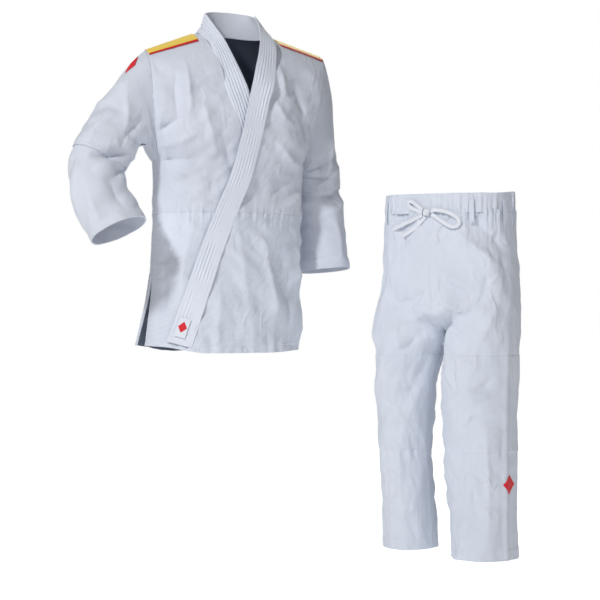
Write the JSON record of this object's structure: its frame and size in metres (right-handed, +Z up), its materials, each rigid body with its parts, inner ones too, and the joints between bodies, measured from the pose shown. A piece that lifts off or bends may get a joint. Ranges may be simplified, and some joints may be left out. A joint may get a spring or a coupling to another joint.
{
  "type": "martial arts uniform",
  "caption": "White cotton judo uniform: a wrap-front jacket with quilted lapel and shoulder stripes, and drawstring trousers, filled out as worn and set side by side.",
  "frame": {"origin": "middle of the jacket's neck, level with the shoulder ridge", "axes": "+Z up, +X across the pair from the jacket to the trousers, -Y towards the viewer; the jacket faces 25 degrees to its own left of -Y and the trousers 28 degrees to their own right"},
  "size_m": [1.0604, 0.489, 1.3084],
  "materials": {
    "jacket_weave": "rice-grain cotton weave, pre-shrunk",
    "skirt_cloth": "diamond cotton weave",
    "lapel_cloth": "thick cotton twill over a core, stitched in rows",
    "trouser_drill": "cotton drill, washed",
    "cotton_tape": "woven cotton tape",
    "yellow_tape": "satin woven tape",
    "red_tape": "satin woven tape",
    "red_embroidery": "close satin-stitch embroidery",
    "label": "smooth woven label"
  },
  "bodies": {
    "jacket_body": {"sleeve_patch": "red_embroidery", "back_upper": "jacket_weave", "back_skirt": "skirt_cloth", "right_front_upper": "jacket_weave", "right_front_skirt": "skirt_cloth", "left_side_upper": "jacket_weave", "left_shoulder_front": "jacket_weave", "left_side_skirt": "skirt_cloth", "waist_tape": "cotton_tape", "right_vent_patch": "cotton_tape", "left_vent_patch": "cotton_tape", "neck_label": "label", "lapel_left_top": "lapel_cloth", "lapel_neck": "lapel_cloth", "lapel_right": "lapel_cloth", "right_stripe_front_edge": "red_tape", "right_stripe": "yellow_tape", "right_stripe_back_edge": "red_tape", "left_stripe_front_edge": "red_tape", "left_stripe": "yellow_tape", "left_stripe_back_edge": "red_tape", "right_sleeve_head": "jacket_weave", "left_sleeve_head": "jacket_weave"},
    "left_front": {"left_front_upper": "jacket_weave", "left_front_skirt": "skirt_cloth", "lapel_left": "lapel_cloth", "lapel_label": "label"},
    "tail": {"back_tail": "skirt_cloth"},
    "right_arm": {"right_upper_sleeve": "jacket_weave", "right_elbow": "jacket_weave"},
    "right_lower_arm": {"right_forearm": "jacket_weave", "right_cuff": "jacket_weave"},
    "left_arm": {"left_upper_sleeve": "jacket_weave", "left_elbow": "jacket_weave"},
    "left_lower_arm": {"left_forearm": "jacket_weave", "left_cuff": "jacket_weave"},
    "trousers": {"right_front_panel": "trouser_drill", "right_back_panel": "trouser_drill", "left_front_panel": "trouser_drill", "left_back_panel": "trouser_drill", "crotch_gusset": "trouser_drill", "waistband_front": "trouser_drill", "waistband_back": "trouser_drill", "belt_loop_front_right": "trouser_drill", "belt_loop_front_left": "trouser_drill", "belt_loop_side_left": "trouser_drill", "belt_loop_back_right": "trouser_drill", "belt_loop_back_left": "trouser_drill", "drawstring_knot": "cotton_tape", "drawstring_loop_left": "cotton_tape", "drawstring_loop_right": "cotton_tape", "drawstring_end_left": "cotton_tape", "drawstring_end_right": "cotton_tape", "right_knee": "trouser_drill", "left_knee": "trouser_drill"},
    "right_lower_leg": {"right_shin": "trouser_drill", "right_hem_band": "trouser_drill"},
    "left_lower_leg": {"left_shin": "trouser_drill", "left_hem_band": "trouser_drill", "leg_patch": "red_embroidery"}
  },
  "joints": [
    {"name": "left_front_open", "type": "hinge", "parent": "jacket_body", "child": "left_front", "pos_m": [0.09183, -0.07168, -0.112], "axis": [-0.0799, -0.1494, 0.9855], "range_deg": [0, 75]},
    {"name": "tail_lift", "type": "hinge", "parent": "jacket_body", "child": "tail", "pos_m": [-0.07339, 0.13595, -0.547], "axis": [0.9063, 0.4226, 0], "range_deg": [0, 25]},
    {"name": "right_shoulder_raise", "type": "hinge", "parent": "jacket_body", "child": "right_arm", "pos_m": [-0.21833, -0.09273, -0.09], "axis": [-0.4226, 0.9063, 0], "range_deg": [0, 40], "deforming": ["right_sleeve_head"]},
    {"name": "right_elbow_bend", "type": "hinge", "parent": "right_arm", "child": "right_lower_arm", "pos_m": [-0.31676, -0.15849, -0.324], "axis": [0.0602, -0.927, 0.3702], "range_deg": [-30, 34], "deforming": ["right_elbow"]},
    {"name": "left_shoulder_raise", "type": "hinge", "parent": "jacket_body", "child": "left_arm", "pos_m": [0.20329, 0.11049, -0.09], "axis": [0.4226, -0.9063, 0], "range_deg": [0, 55], "deforming": ["left_sleeve_head"]},
    {"name": "left_elbow_bend", "type": "hinge", "parent": "left_arm", "child": "left_lower_arm", "pos_m": [0.21128, 0.15725, -0.362], "axis": [-0.9063, -0.4226, 0], "range_deg": [0, 55], "deforming": ["left_elbow"]},
    {"name": "trousers_apart", "type": "slide", "parent": "jacket_body", "child": "trousers", "axis": [1, 0, 0], "range_m": [0, 0.12]},
    {"name": "right_knee_fold", "type": "hinge", "parent": "trousers", "child": "right_lower_leg", "pos_m": [0.41334, 0.05352, -0.856], "axis": [0.8829, -0.4695, 0], "range_deg": [0, 60], "deforming": ["right_knee"]},
    {"name": "left_knee_fold", "type": "hinge", "parent": "trousers", "child": "left_lower_leg", "pos_m": [0.58999, -0.03814, -0.856], "axis": [0.8829, -0.4695, 0], "range_deg": [0, 60], "deforming": ["left_knee"]}
  ]
}
